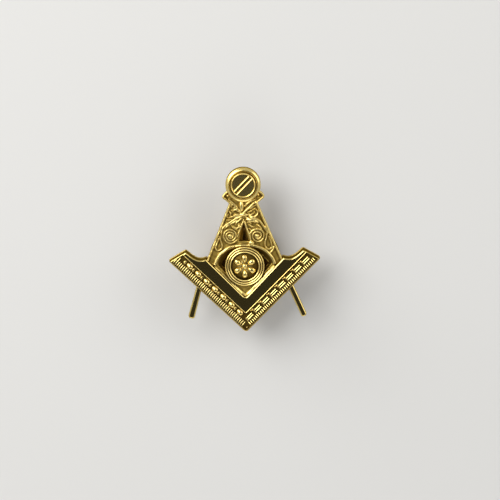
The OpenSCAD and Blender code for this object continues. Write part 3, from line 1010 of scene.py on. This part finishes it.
def crescent(size, side, outer, inner, lift, start):
    """The outline between the arch and the rosette on one side, down from an angle in degrees.

    The outer radius is round the arch's middle, the inner one round the rosette's, and the lift is the
    distance that the outline keeps from the square's inner edge.
    """
    slope = math.tan(INNER_SLOPE)
    base = lift / math.cos(INNER_SLOPE) - size["inner_corner"]
    steps = 12
    arc = [arch_point(outer, start - k * start / steps) for k in range(steps + 1)]
    points = [(x, y) for x, y in arc if y > x * slope + base]
    low_end = points[-1][0]
    points.append((low_end - 0.05, low_end * slope + base))
    near_rosette = inner * 0.95
    points.append((near_rosette, near_rosette * slope + base))
    first = -10
    last = math.degrees(math.atan2(points[0][1], points[0][0])) - 2
    steps = 9
    for k in range(steps + 1):
        angle = math.radians(first + k * (last - first) / steps)
        points.append((inner * math.cos(angle), inner * math.sin(angle)))
    return [(side * x, y) for x, y in points]


def paint_shade_in_creases(piece):
    """Paints how deep each place lies between its neighbours, which darkens the creases as painted shade.
    """
    activate(piece)
    piece.data.color_attributes.new("painted_hollow_shade", "BYTE_COLOR", "CORNER")
    bpy.ops.paint.vertex_color_dirt(
        blur_strength=1, blur_iterations=5, clean_angle=math.radians(120), dirt_angle=math.radians(60))


class PIN_OT_lower_legs(bpy.types.Operator):
    """Models the ends of the compasses' legs that come out under the square"""

    bl_idname = "pin.lower_legs"
    bl_label = "Lower legs"

    def execute(self, context):
        # Middle of the end under the square and of the foot, and the widths there
        left = self.leg(Vector((-6.9, -2.2)), Vector((-8.62, -8.2)), (0.86, 1.02))
        right = self.leg(Vector((6.62, -2.2)), Vector((9.24, -8.2)), (0.9, 0.9))
        # Painted shade darkens the legs' gilt low down
        gilt = gilt_material("gilt legs", 0.16, 0.1, (6.3, 7.0))
        finish_piece(join([left, right]), "lower_legs", "emblem", gilt)
        return {"FINISHED"}

    def leg(self, top, foot, widths):
        """A flat bar with a rounded foot and rounded upper edges."""
        height, edge = 1.08, 0.22
        along = (foot - top).normalized()
        across = Vector((-along.y, along.x)) / 2
        top_side, foot_side = across * widths[0], across * widths[1]
        corners = [top - top_side, foot - foot_side, foot + foot_side, top + top_side]
        foot_radius = 0.36 * widths[1]
        radii = [0.05, foot_radius, foot_radius, 0.05]
        profile = [(0, 0)]
        profile += [(inset, height - edge + rise) for inset, rise in quarter_round(edge)]
        rings = [(rounded_outline(corners, inset, radii), BACK_Z + z) for inset, z in profile]
        return loft("leg", rings)


class PIN_OT_head(bpy.types.Operator):
    """Models the head of the compasses: a rounded shoulder round a slotted screw disc"""

    bl_idname = "pin.head"
    bl_label = "Head"

    def execute(self, context):
        outer = sizes()["head_radius"]
        middle = Vector((0, 12.76))
        disc = 1.74
        # Half the section of the head, from the foot of its wall inwards: the shoulder, the groove round
        # the screw, the screw's raised rim and its flat disc
        profile = [
            (outer, 0.0), (outer, 1.12), (outer - 0.03, 1.24), (outer - 0.08, 1.33), (outer - 0.15, 1.4),
            (outer - 0.3, 1.48), (outer - 0.47, 1.55), (outer - 0.53, 1.55), (outer - 0.58, 1.52),
            (2.13, 1.45), (1.97, 1.43), (1.94, disc), (1.9, 1.85), (1.83, 1.9), (1.76, 1.87),
            (1.71, disc), (0.01, disc)]
        head = lathe("head", middle, [(radius, BACK_Z + z) for radius, z in profile])
        turn = math.radians(45)
        slot_length, slot_width, slot_floor = 3.3, 0.46, 1.5
        cutter = block("slot", (*middle, BACK_Z + slot_floor + 0.5), (slot_length, slot_width, 1), turn)
        fuse(head, cutter, "DIFFERENCE")
        along = Vector((math.cos(turn), math.sin(turn)))
        across = Vector((-along.y, along.x))
        lips = []
        for offset, half_length in ((0.32, 1.62), (-0.32, 1.76)):
            start = middle + across * offset
            ends = [tuple(start + along * reach) for reach in (-half_length, half_length)]
            lips.append((ends, 0.11))
        head = join([head, drawn_lines("slot lips", lips, BACK_Z + disc + 0.02)])
        # Painted shade darkens the head's gilt low down
        gilt = gilt_material("gilt head", 0.24, 0.1, (6.9, 7.6))
        finish_piece(head, "hinge_head", "emblem", gilt)
        return {"FINISHED"}


class PIN_OT_rosette(bpy.types.Operator):
    """Models the rosette: raised rings round a ring of petals and a boss"""

    bl_idname = "pin.rosette"
    bl_label = "Rosette"

    def execute(self, context):
        edge = sizes()["rosette_radius"]
        profile = [(edge - 0.05, 0.01), (edge, 0.85)]
        # Distance of each ring's middle from the edge, and the heights of its foot and its top
        half_width, steps = 0.14, 6
        for inwards, foot, top in ((0.13, 1.5, 1.72), (0.46, 1.6, 1.86), (0.83, 1.6, 1.84)):
            for k in range(steps + 1):
                turn = math.pi * k / steps
                radius = edge - inwards + half_width * math.cos(turn)
                profile.append((radius, foot + (top - foot) * math.sin(turn)))
        profile += [(edge - 1.08, 1.3), (0.5, 1.7), (0.01, 1.75)]
        dish = lathe("rosette", (0, 0), [(radius, BACK_Z + z) for radius, z in profile])
        dome = [(0.52, 1.3), (0.5, 1.6), (0.4, 1.82), (0.22, 1.95), (0.01, 1.99)]
        boss = lathe("boss", (0, 0), [(radius, BACK_Z + z) for radius, z in dome], 48)
        petal = self.petal()
        count = 6
        turns = [math.pi / 2 + 2 * math.pi * k / count for k in range(count)]
        petals = [copy_at(petal, (0, 0, 0), turn) for turn in turns]
        bpy.data.objects.remove(petal)
        # Painted shade darkens the rosette's gilt in the dish and between its rings
        gilt = gilt_material("gilt rosette", 0.2, 0.1, (7.68, 7.92))
        finish_piece(join([dish, boss, *petals]), "rosette", "emblem", gilt)
        return {"FINISHED"}

    def petal(self):
        """A domed leaf that points along x, wider towards its tip."""
        middle, half_length, half_width, widening = 1.2, 0.7, 0.48, 0.3
        # How much of the leaf's outline is left at each height
        section = [(1, 1.25), (1, 1.5), (0.94, 1.64), (0.8, 1.78), (0.6, 1.88), (0.35, 1.95), (0.1, 1.97)]
        steps = 24
        turns = [2 * math.pi * k / steps for k in range(steps)]
        rings = []
        for share, height in section:
            outline = []
            for turn in turns:
                out = half_length * math.cos(turn)
                off = half_width * math.sin(turn) * (1 + widening * math.cos(turn))
                outline.append((middle + share * out, share * off))
            rings.append((outline, BACK_Z + height))
        return loft("petal", rings)


class PIN_OT_clasp(bpy.types.Operator):
    """Models the post on the back and the round clutch that holds it"""

    bl_idname = "pin.clasp"
    bl_label = "Post and clutch"

    def execute(self, context):
        # The post runs from its blunt point to a flared foot that is rooted in the casting
        shank, foot, tip = 0.55, 0.8, 1.0
        post = lathe("post", (0, 0), [
            (0.2, tip), (0.45, tip + 0.25), (shank, tip + 0.6), (shank, BACK_Z - 0.25), (foot, BACK_Z),
            (foot, BACK_Z + 0.3)], 32)
        finish_piece(post, "post", "emblem", plain_gilt_material("gilt post"))
        size = sizes()
        wall, top, bore = size["clutch_radius"], size["clutch_height"], 0.6
        # Distances from the wall and from the flat, along a rounded edge of the cap
        round_edge = [(0, 0.8), (0.1, 0.4), (0.4, 0.1), (0.8, 0)]
        profile = [(wall - inset, drop) for inset, drop in round_edge[::-1]]
        profile += [(wall - inset, top - drop) for inset, drop in round_edge]
        profile += [
            (1.3, top), (1.2, top - 0.1), (bore + 0.02, top - 0.1), (bore, top - 0.2), (bore, 0.97),
            (0.01, 0.95)]
        clutch = lathe("clutch", (0, 0), profile)
        finish_piece(clutch, "clutch_cap", "clutch", turned_material("turned brass"))
        return {"FINISHED"}


class PIN_PT_panel(bpy.types.Panel):
    """Lists the pin's sizes and colours, and a button for each piece"""

    bl_idname = "PIN_PT_panel"
    bl_label = "Lapel pin"
    bl_space_type = "VIEW_3D"
    bl_region_type = "UI"
    bl_category = "Lapel pin"

    def draw(self, context):
        scene = context.scene
        for group, kind in ((scene.pin_sizes, PinSizes), (scene.pin_colours, PinColours)):
            for name in kind.__annotations__:
                self.layout.prop(group, name)
        for step in STEPS:
            self.layout.operator(step.bl_idname)


STEPS = (
    PIN_OT_stage, PIN_OT_square, PIN_OT_compasses, PIN_OT_lower_legs, PIN_OT_head, PIN_OT_rosette,
    PIN_OT_clasp)
CLASSES = (PinSizes, PinColours, *STEPS, PIN_PT_panel)


def register():
    for item in CLASSES:
        bpy.utils.register_class(item)
    bpy.types.Scene.pin_sizes = bpy.props.PointerProperty(type=PinSizes)
    bpy.types.Scene.pin_colours = bpy.props.PointerProperty(type=PinColours)


def unregister():
    del bpy.types.Scene.pin_colours
    del bpy.types.Scene.pin_sizes
    for item in reversed(CLASSES):
        bpy.utils.unregister_class(item)


def main():
    """Makes the stage and every piece in turn."""
    register()
    for step in STEPS:
        group, name = step.bl_idname.split(".")
        getattr(getattr(bpy.ops, group), name)()


if __name__ == "__main__":
    main()
